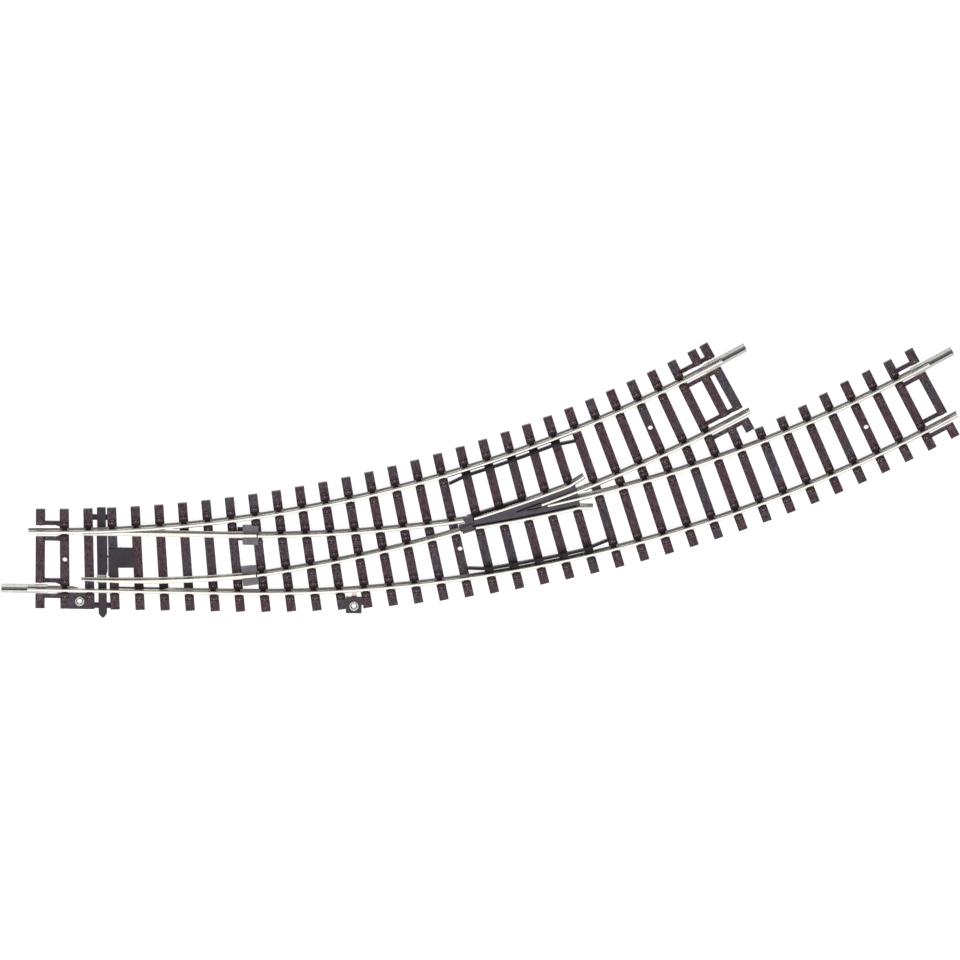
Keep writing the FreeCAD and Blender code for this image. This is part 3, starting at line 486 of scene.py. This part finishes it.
def area_light(name, position, target, width, height, energy, colour):
    data = bpy.data.lights.new(name, "AREA")
    data.shape = "RECTANGLE"
    data.size = width
    data.size_y = height
    data.energy = energy
    data.color = colour
    obj = bpy.data.objects.new(name, data)
    bpy.context.scene.collection.objects.link(obj)
    obj.location = position
    obj.rotation_euler = (Vector(target) - Vector(position)).to_track_quat("-Z", "Y").to_euler()
    return obj


CENTRE = (0.14, 0.025, 0.0)
area_light("key_light", (0.14, -0.45, 0.85), CENTRE, 0.90, 0.90, 2.6, (1.0, 0.985, 0.96))

world = bpy.data.worlds.new("studio")
world.use_nodes = True
world.node_tree.nodes["Background"].inputs["Color"].default_value = (1.0, 1.0, 1.0, 1.0)
world.node_tree.nodes["Background"].inputs["Strength"].default_value = 0.15
bpy.context.scene.world = world
bpy.context.scene.view_settings.view_transform = "Standard"
bpy.context.scene.view_settings.look = "None"

floor_mat, _, floor_shader, _ = material("floor_card")
floor_shader.inputs["Base Color"].default_value = (0.90, 0.90, 0.90, 1.0)
floor_shader.inputs["Roughness"].default_value = 0.9
floor_shader.inputs["Specular IOR Level"].default_value = 0.1
floor_shader.inputs["Emission Color"].default_value = (1.0, 1.0, 1.0, 1.0)
floor_shader.inputs["Emission Strength"].default_value = 0.85
floor_mesh = bpy.data.meshes.new("floor")
floor_mesh.from_pydata([(-3, -3, -0.00002), (3, -3, -0.00002), (3, 3, -0.00002), (-3, 3, -0.00002)], [],
                       [(0, 1, 2, 3)])
floor_mesh.materials.append(floor_mat)
floor = bpy.data.objects.new("floor", floor_mesh)
bpy.context.scene.collection.objects.link(floor)

# --- sleepers -------------------------------------------------------------------------------------
# A rail path is (centre, head-centre radius, straight y or None, first x, last x).
PATHS = {
    "inner_stock": (INNER, R - GAUGE, None, 0.0, 206.6),
    "outer_stock": (OUTER, R + GAUGE, -GAUGE, 0.0, 277.2),
    "rail_a": (OUTER, R - GAUGE, GAUGE, 68.7, 268.5),
    "rail_b": (INNER, R + GAUGE, None, 68.7, 215.3),
    "wing_upper": (INNER, WING_UP_R, None, 134.0, 165.0),
    "wing_lower": (OUTER, WING_LOW_R, None, 135.0, 168.0),
}
SLOT_HALF = 1.75
SLOTS = {
    0: ("inner_stock", "outer_stock"), INNER_LAST: ("inner_stock", "rail_b"),
    OUTER_LAST: ("rail_a", "outer_stock"), OUTER_LAST + 1: ("inner_stock", "rail_b"),
}
NAILS = [Vector((11.0, 0.1)), on_outer(SHIFT + R * math.radians(9.2), 0), on_inner(26.1, 0),
         on_outer(SHIFT + R * math.radians(26.5), 0)]


def side_of(path, p):
    centre, radius, level, _, _ = PATHS[path]
    if level is not None and p.x <= SHIFT:
        return p.y - level
    return radius - (p - centre).length


def spans(line):
    """Pairs of points and the distance at which each starts."""
    start = 0.0
    for p, q in zip(line, line[1:]):
        yield start, p, q
        start += (q - p).length


def point_at(line, s):
    for start, p, q in spans(line):
        length = (q - p).length
        if s <= start + length or q is line[-1]:
            return p + (q - p) * ((s - start) / length)
    return line[-1]


def length_of(line):
    return sum((q - p).length for _, p, q in spans(line))


def crossing(line, path):
    """Distance along a sleeper line at which it crosses a rail."""
    low, high = 0.0, length_of(line)
    if side_of(path, point_at(line, low)) < 0 or side_of(path, point_at(line, high)) > 0:
        return None
    for _ in range(40):
        middle = (low + high) / 2
        if side_of(path, point_at(line, middle)) >= 0:
            low = middle
        else:
            high = middle
    return low


def grain_depth(s, u, seed):
    """Depth of the moulded wood grain, from soft streaks and a few long cracks."""
    streak = noise.noise(Vector((s * 0.16, u * 2.7, seed)))
    fine = noise.noise(Vector((s * 0.45, u * 6.0, seed + 4.0)))
    crack = abs(noise.noise(Vector((s * 0.07, u * 1.5, seed + 9.0))))
    return 0.035 * max(0.0, streak) + 0.016 * (fine + 1) + 0.07 * max(0.0, 1 - crack / 0.07)


EDGE = [(-1.375, 0.0), (-1.375, 2.03), (-1.355, 2.11), (-1.30, 2.165)]
TOP = [0.2 * k for k in range(-6, 7)]


def add_sleeper(mesh, line, start, end, seed):
    """One plank between two distances along its line."""
    count = max(4, int((end - start) / 0.5))
    stations = [start, start + 0.05, start + 0.13]
    stations += [start + 0.3 + (end - start - 0.6) * i / count for i in range(count + 1)]
    stations += [end - 0.13, end - 0.05, end]
    drops = {0: 0.13, 1: 0.05, len(stations) - 2: 0.05, len(stations) - 1: 0.13}
    rows, grain = [], []
    for i, s in enumerate(stations):
        along = (point_at(line, s + 0.8) - point_at(line, s - 0.8)).normalized()
        side = Vector((-along.y, along.x))
        middle = point_at(line, s)
        drop = drops.get(i, 0.0)
        profile = [(u, z if z < 2 else z - drop) for u, z in EDGE]
        profile += [(u, SEAT - drop - grain_depth(s, u, seed)) for u in TOP]
        profile += [(-u, z if z < 2 else z - drop) for u, z in EDGE[::-1]]
        rows.append([(*(middle + side * u), z) for u, z in profile])
        grain.append([(s, u + (z - SEAT), seed * 5.0) for u, z in profile])
    first = mesh.grid(rows, closed=True, grain=grain)
    mesh.cap(first, len(rows[0]))
    mesh.cap(first + (len(rows) - 1) * len(rows[0]), len(rows[0]), flip=True)


def cutters(name, points, radius):
    """Cylinders that bore holes, joined in one hidden object."""
    mesh = Mesh()
    for p in points:
        ring = [p + Vector((math.cos(a), math.sin(a))) * radius
                for a in (2 * math.pi * k / 40 for k in range(40))]
        first = mesh.grid([[(q.x, q.y, z) for q in ring] for z in (-1.0, 6.0)], closed=True)
        mesh.cap(first, len(ring), flip=True)
        mesh.cap(first + len(ring), len(ring))
    return mesh.build(name, SLEEPER, body=None)


def bored(obj, points, radius):
    carve(obj, cutters("cutter", points, radius))


NAIL_RADIUS = 0.75


planks = Mesh()
nailed = Mesh()
for n, line in enumerate(LINES):
    total = length_of(line)
    ends = [0.0]
    for path in SLOTS.get(n, ()):
        at = crossing(line, path)
        ends += [at - SLOT_HALF, at + SLOT_HALF]
    ends = sorted(ends + [total])
    near = min((point_at(line, k * 0.25) - nail).length for nail in NAILS for k in range(int(total * 4)))
    for start, end in zip(ends[::2], ends[1::2]):
        add_sleeper(nailed if near < 1.0 else planks, line, start, end, n * 1.37 + start * 0.01)
sleepers = planks.build("sleepers", SLEEPER, smooth=50)
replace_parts(sleepers, "sleeper_base")
bored(nailed.build("nailed_sleepers", SLEEPER, smooth=50), NAILS, NAIL_RADIUS)

# --- webs, pads and housing -----------------------------------------------------------------------
WEB_TOP = 1.4
RUNNER_WIDTH, RUNNER_TOP = 1.4, 1.3
# Pivots of the two blades.
HEEL_X = 66.7
HEEL_UPPER = Vector((HEEL_X, R - math.sqrt((R - GAUGE) ** 2 - (HEEL_X - SHIFT) ** 2)))
HEEL_LOWER = Vector((HEEL_X, R - math.sqrt((R + GAUGE) ** 2 - HEEL_X ** 2)))
TIE_GAP, HEEL_GAP = (2, 3), (8, 9)
# Gaps between sleepers, by rail, that have no runner.
NO_RUNNER = {
    "inner_stock": [(0, 1), TIE_GAP, (28, 29)],
    "outer_stock": [(0, 1), (1, 2), TIE_GAP, (12, 13), (36, 37)],
    "rail_a": [(0, 1), TIE_GAP, (3, 4), HEEL_GAP, (36, 37)] + [(n, n + 1) for n in range(1, 8)],
    "rail_b": [(0, 1), TIE_GAP, (3, 4), HEEL_GAP, (28, 29)] + [(n, n + 1) for n in range(1, 8)],
}


def bearing(centre, p):
    return math.atan2(p.x - centre.x, centre.y - p.y)


webs = Mesh()
for path, gaps in NO_RUNNER.items():
    centre, radius, level, _, _ = PATHS[path]
    for n in range(OUTER_LAST if path in ("outer_stock", "rail_a") else INNER_LAST):
        hits = [crossing(LINES[m], path) for m in (n, n + 1)]
        if (n, n + 1) in gaps or None in hits:
            continue
        ends = [point_at(LINES[m], hit) for m, hit in zip((n, n + 1), hits)]
        if level is not None and ends[1].x <= SHIFT:
            slab(webs, ribbon(ends, RUNNER_WIDTH), 0.0, RUNNER_TOP)
        else:
            arc = arc_points(centre, radius, bearing(centre, ends[0]), bearing(centre, ends[1]))
            slab(webs, ribbon(arc, RUNNER_WIDTH), 0.0, RUNNER_TOP)
for place, start, end in ((on_outer, 3.7, 11.2), (on_inner, 28.1, 29.61), (on_outer, 271.7, 279.1)):
    for rail in (GAUGE, -GAUGE):
        for side in (-1, 1):
            level = rail + side * (SLOT_HALF + 0.6)
            slab(webs, ribbon([place(start, level), place(end, level)], 1.2), 0.0, WEB_TOP)

# Gussets where the toe slots narrow down to the rail foot.
for rail in (GAUGE, -GAUGE):
    for side in (-1, 1):
        corner = rail + side * (SLOT_HALF + 0.1)
        slab(webs, [Vector((7.9, corner)), Vector((10.0, corner)), Vector((10.0, rail + side * 1.12))],
             0.0, WEB_TOP, soft=0.06)

# Bridges under the tie bar, floor of the spring housing, heel seats and a raised plate.
for y in (13.0, -13.7):
    slab(webs, rectangle(Vector((21.75, y)), Vector((1, 0)), 8.5, 1.7), 0.0, 0.5)
slab(webs, rectangle(Vector((29.25, 1.0)), Vector((1, 0)), 6.5, 5.8), 0.0, 0.6)
for heel in (HEEL_UPPER, HEEL_LOWER):
    slab(webs, rectangle(heel - Vector((0.9, 0)), Vector((1, 0)), 6.5, 4.0), 0.0, 0.9)
slab(webs, rectangle(Vector((18.5, -3.85)), Vector((1, 0)), 2.6, 1.9), 2.0, SEAT + 0.2, soft=0.07)
webs.build("sleeper_webs", SLEEPER)

cheeks = Mesh()
for heel, turn in ((HEEL_UPPER, math.radians(0.7)), (HEEL_LOWER, math.asin(HEEL_X / (R + GAUGE)))):
    along = Vector((math.cos(turn), math.sin(turn)))
    across = Vector((-along.y, along.x))
    for side in (-1, 1):
        slab(cheeks, rectangle(heel - along * 0.1 + across * (side * 1.12), along, 4.6, 0.8), 2.75, 3.45,
             soft=0.08)
cheeks.build("heel_cheeks", HEEL)

EYELETS = {"toe": Vector((15.6, -12.3)), "mid": Vector((97.8, -12.3))}
pads = Mesh()
slab(pads, rectangle(Vector((14.95, -12.3)), Vector((1, 0)), 5.6, 4.8), 0.0, 2.18, soft=0.08)
slab(pads, rectangle(Vector((97.75, -12.2)), Vector((1, 0)), 4.7, 4.8), 0.0, 2.18, soft=0.08)
bored(pads.build("feeder_pads", SLEEPER), EYELETS.values(), 1.03)
braces = Mesh()
slab(braces, rectangle(Vector((95.0, -11.6)), Vector((1, 0.12)), 2.4, 2.0), 0.0, 2.15, soft=0.08)
slab(braces, rectangle(Vector((100.7, -10.95)), Vector((1, 0.12)), 2.4, 2.0), 0.0, 2.15, soft=0.08)
braces.build("feeder_pad_braces", SLEEPER)

# --- chairs ---------------------------------------------------------------------------------------
CHAIR_TOP = 2.95
LONE_CHAIR = 2.2      # a chair top deeper than this belongs to two rails


def chair_places():
    """Middle and corners of each chair top on the CAD moulding. Touching chairs come as one."""
    source = frame["nodes"]["sleeper_base"].data
    groups = {}
    for face in source.polygons:
        corners = [source.vertices[v].co / MM for v in face.vertices]
        if all(abs(c.z - CHAIR_TOP) < 0.002 for c in corners) and abs(face.normal.z) > 0.9:
            keys = {(round(c.x, 2), round(c.y, 2)) for c in corners}
            merged = set(keys)
            for old in [g for g in groups if groups[g] & keys]:
                merged |= groups.pop(old)
            groups[min(merged)] = merged
    for corners in groups.values():
        points = [Vector(c) for c in corners]
        middle = sum(points, Vector((0, 0))) / len(points)
        yield middle, points


def add_dome(mesh, centre, radius, z0, z1, sides=14):
    """Round bolt head with a softened rim and a domed top."""
    height = z1 - z0
    rings = [(radius, z0), (radius, z0 + height * 0.45), (radius * 0.93, z0 + height * 0.7),
             (radius * 0.72, z0 + height * 0.9), (radius * 0.35, z1 - height * 0.02)]
    rows = []
    for r, z in rings:
        rows.append([(centre.x + r * math.cos(a), centre.y + r * math.sin(a), z)
                     for a in (2 * math.pi * k / sides for k in range(sides))])
    first = mesh.grid(rows, closed=True)
    mesh.cap(first + (len(rings) - 1) * sides, sides)
    mesh.cap(first, sides, flip=True)


WASHER = [(0.92, 2.3), (0.92, 2.52), (0.86, 2.62), (0.76, 2.64), (0.68, 2.58), (0.66, 2.4), (0.66, 2.3)]


def add_bolt(centre, lift=0.0):
    """Moulded bolt: a head with a domed top inside a raised ring."""
    rows = [[(centre.x + r * math.cos(a), centre.y + r * math.sin(a), z + lift) for r, z in WASHER]
            for a in (2 * math.pi * k / 24 for k in range(25))]
    bolts.grid(rows, closed=True)
    add_dome(bolts, centre, 0.44, 2.35 + lift, 2.90 + lift)


plates = Mesh()
bolts = Mesh()


def add_chair(path, middle, points, share):
    """Chair beside one rail: plate, outer ridge, clip over the foot of the rail, and bolt."""
    centre, radius, level, _, _ = PATHS[path]
    if level is not None and middle.x <= SHIFT:
        along = Vector((1, 0))
    else:
        spoke = (middle - centre).normalized()
        along = Vector((-spoke.y, spoke.x))
    outward = Vector((-along.y, along.x))
    if abs(side_of(path, middle + outward * 0.1)) < abs(side_of(path, middle)):
        outward = -outward
    run = [p.dot(along) for p in points]
    near = min(abs(side_of(path, p)) for p in points)
    reach = share / 2
    middle = middle + outward * (near + reach - abs(side_of(path, middle)))
    middle = middle + along * ((min(run) + max(run)) / 2 - middle.dot(along))
    width = min(2.2, max(run) - min(run))
    slab(plates, rectangle(middle, along, width, 2 * reach), 2.1, 2.5, soft=0.1)
    # Nothing clips the blades, so the chairs beside their heels have no clip.
    if path.endswith("stock") or abs(middle.x - HEEL_X) > 2.5:
        rail_line = middle - outward * (near + reach)
        slab(plates, rectangle(rail_line + outward, outward, 0.96, width - 0.6), 2.1, 2.92, soft=0.16)
    slab(plates, rectangle(middle + outward * (reach - 0.22), along, width - 0.5, 0.36), 2.1, 2.78, soft=0.12)
    add_bolt(middle + outward * min(0.25, max(0.0, reach - 0.6)))


for middle, points in chair_places():
    ranked = sorted((abs(side_of(name, middle)), name) for name in PATHS
                    if PATHS[name][3] - 1 < middle.x < PATHS[name][4] + 1)
    sides = [abs(side_of(ranked[0][1], p)) for p in points]
    depth = max(sides) - min(sides)
    owners = ranked[:2] if depth > LONE_CHAIR else ranked[:1]
    for _, name in owners:
        add_chair(name, middle, points, depth / len(owners))

# Slide plates that the blades rest on, flush with the sleeper tops, dark as painted shade between the stock
# rails and the blades.
for line in LINES[4:9]:
    for start, end in ((crossing(line, "inner_stock") + 0.5, crossing(line, "rail_a")),
                       (crossing(line, "rail_b") - 1.0, crossing(line, "outer_stock") - 0.5)):
        if end - start > 0.6:
            slab(plates, ribbon([point_at(line, start), point_at(line, end)], 2.7), 2.0, 2.195, soft=0.03)
for n, paths in SLOTS.items():
    for path in paths:
        for side in (-1, 1):
            spot = point_at(LINES[n], crossing(LINES[n], path) + side * 2.6)
            along = point_at(LINES[n], crossing(LINES[n], path) + side * 2.7) - spot
            slab(plates, rectangle(spot, along, 1.5, 2.1), 2.1, 2.32, soft=0.06)
            add_bolt(spot, lift=-0.2)
# Chairs, slide plates and slot plates all take the dark chair colour, which is painted shade.
plates.build("rail_chairs", CHAIR_PAINTED_SHADE)
bolts.build("chair_bolts", BOLT_PAINTED_HIGHLIGHT)

# --- running rails --------------------------------------------------------------------------------
SIDE = [(1.0, 2.2), (1.0, 2.38), (0.97, 2.43), (0.42, 2.62), (0.33, 2.70), (0.30, 2.85), (0.30, 3.70),
        (0.33, 3.82), (0.42, 3.90), (0.45, 3.96), (0.45, 4.52), (0.435, 4.60), (0.39, 4.66),
        (0.30, 4.69), (0.12, 4.70)]


def rail_rows(stations):
    """Cross-sections: stations are (point, side direction, foot towards the inside, foot on the outside)."""
    rows = []
    for p, side, foot_in, foot_out in stations:
        row = [(min(u, foot_in), z) for u, z in SIDE] + [(-min(u, foot_out), z) for u, z in SIDE[::-1]]
        rows.append([(*(p + side * u), z) for u, z in row])
    return rows


def along_arc(centre, radius, a0, a1):
    """Points on an arc with the direction across the rail, towards the inside of the curve."""
    count = int((a1 - a0) * radius / 1.5)
    for k in range(count + 1):
        a = a0 + (a1 - a0) * k / count
        out = Vector((math.sin(a), -math.cos(a)))
        yield centre + out * radius, -out


def flared(centre, radius, x0, x1, tip):
    """A wing rail: an arc, then a straight flare to its tip."""
    places = list(along_arc(centre, radius, angle_at(x0, centre, radius), angle_at(x1, centre, radius)))
    flare = (tip - places[-1][0]).normalized()
    side = Vector((-flare.y, flare.x))
    places[-1] = (places[-1][0], (places[-1][1] + side).normalized())
    return places + [(tip, side)]


def swept_rail(name, node_name, places, limits=None):
    """Rail along a path; limits(p) gives how far it may reach inwards and outwards at a point."""
    stations = [(p, side, *(limits(p) if limits else (FOOT, FOOT))) for p, side in places]
    mesh = Mesh()
    rows = rail_rows(stations)
    first = mesh.grid(rows, closed=True)
    mesh.cap(first, len(rows[0]))
    mesh.cap(first + (len(rows) - 1) * len(rows[0]), len(rows[0]), flip=True)
    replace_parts(mesh.build(name, RAIL, smooth=32), node_name)


def beside_blades(p):
    return 14.9 < p.x < 42.0


straight = [(Vector((SHIFT * k / 32, -GAUGE)), Vector((0, 1))) for k in range(32)]
swept_rail("inner_stock_rail_drawn", "inner_stock_rail", along_arc(INNER, R - GAUGE, 0, TURN),
           lambda p: (FOOT, HEAD if beside_blades(p) else FOOT))
swept_rail("outer_stock_rail_drawn", "outer_stock_rail",
           straight + list(along_arc(OUTER, R + GAUGE, 0, TURN)),
           lambda p: (HEAD if beside_blades(p) else FOOT, FOOT))
swept_rail("closure_rail_a_drawn", "closure_rail_a", along_arc(
    OUTER, R - GAUGE, angle_at(68.7, OUTER, R - GAUGE), angle_at(130.2, OUTER, R - GAUGE)))
swept_rail("closure_rail_b_drawn", "closure_rail_b", along_arc(
    INNER, R + GAUGE, angle_at(68.7, INNER, R + GAUGE), angle_at(129.5, INNER, R + GAUGE)))
swept_rail("wing_rail_upper_drawn", "wing_rail_upper", flared(
    INNER, WING_UP_R, 133.4, 161.8, Vector((166.0, 28.4))))
swept_rail("wing_rail_lower_drawn", "wing_rail_lower", flared(
    OUTER, WING_LOW_R, 134.0, 164.6, Vector((168.9, 19.0))))
swept_rail("point_rail_upper_drawn", "point_rail_upper", along_arc(
    INNER, R + GAUGE, angle_at(153.5, INNER, R + GAUGE), TURN),
    lambda p: (FOOT, HEAD if p.x < 166.0 else FOOT))
swept_rail("point_rail_lower_drawn", "point_rail_lower", along_arc(
    OUTER, R - GAUGE, angle_at(155.3, OUTER, R - GAUGE), TURN),
    lambda p: (min(FOOT, abs(side_of("rail_b", p)) - 0.6), FOOT))

# --- frog -----------------------------------------------------------------------------------------
grooves = Mesh()
nose = Vector((146.0, 17.25))
lower_end = Vector((153.3, 18.8))
for start, end in ((nose, Vector((153.2, 20.15))), (nose.lerp(lower_end, 0.45), lower_end)):
    grooved = ribbon([start, end], 0.46)
    first = grooves.grid([[(q.x, q.y, z) for q in anticlockwise(grooved)] for z in (3.0, 6.0)], closed=True)
    grooves.cap(first, 4, flip=True)
    grooves.cap(first + 4, 4)
channel = ribbon(arc_points(OUTER, WING_LOW_R - 0.66, angle_at(133.0, OUTER, WING_LOW_R),
                            angle_at(164.0, OUTER, WING_LOW_R)), 0.50)
first = grooves.grid([[(q.x, q.y, z) for q in anticlockwise(channel)] for z in (3.1, 6.0)], closed=True)
grooves.cap(first, len(channel), flip=True)
grooves.cap(first + len(channel), len(channel))
refined("frog_body", 0.08, cutter=grooves.build("cutter", SLEEPER, body=None))

# A wall on the outer side of the upper wing rail, made black as painted shade beside the wing rail.
shade_wall = Mesh()
slab(shade_wall, ribbon(arc_points(INNER, WING_UP_R - 0.85, angle_at(131.5, INNER, WING_UP_R),
                             angle_at(147.3, INNER, WING_UP_R)), 0.6), 0.0, 3.1)
shade_wall.build("frog_side_wall_painted_shade", CHECK)

# --- eyelets --------------------------------------------------------------------------------------
RIVET = [(0.65, 0.3), (0.65, 2.02), (0.70, 2.16), (1.00, 2.48), (1.05, 2.53), (1.14, 2.55), (1.34, 2.53),
         (1.45, 2.45), (1.50, 2.33), (1.48, 2.20), (1.0, 2.19), (1.0, 0.3)]
for place, p in EYELETS.items():
    rivet = Mesh()
    rows = []
    for k in range(48):
        a = 2 * math.pi * k / 48
        rows.append([(p.x + r * math.cos(a), p.y + r * math.sin(a), z) for r, z in RIVET])
    rivet.grid(rows + [rows[0]], closed=True)
    turned = rivet.build("feeder_rivet_" + place, EYELET, smooth=60)
    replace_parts(turned, "feeder_eyelet_" + place)

# --- finish ---------------------------------------------------------------------------------------
for node_name, width in (
        ("frog_wedge", 0.10), ("tie_bar", 0.12), ("spring_cover", 0.10),
        ("heel_block_upper", 0.12), ("heel_block_lower", 0.12), ("check_rail_inner", 0.12),
        ("check_rail_outer", 0.12), ("blade_upper", 0.05), ("blade_lower", 0.05),
        ("rail_joiner_toe", 0.06), ("rail_joiner_inner", 0.06), ("rail_joiner_outer", 0.06)):
    refined(node_name, width)
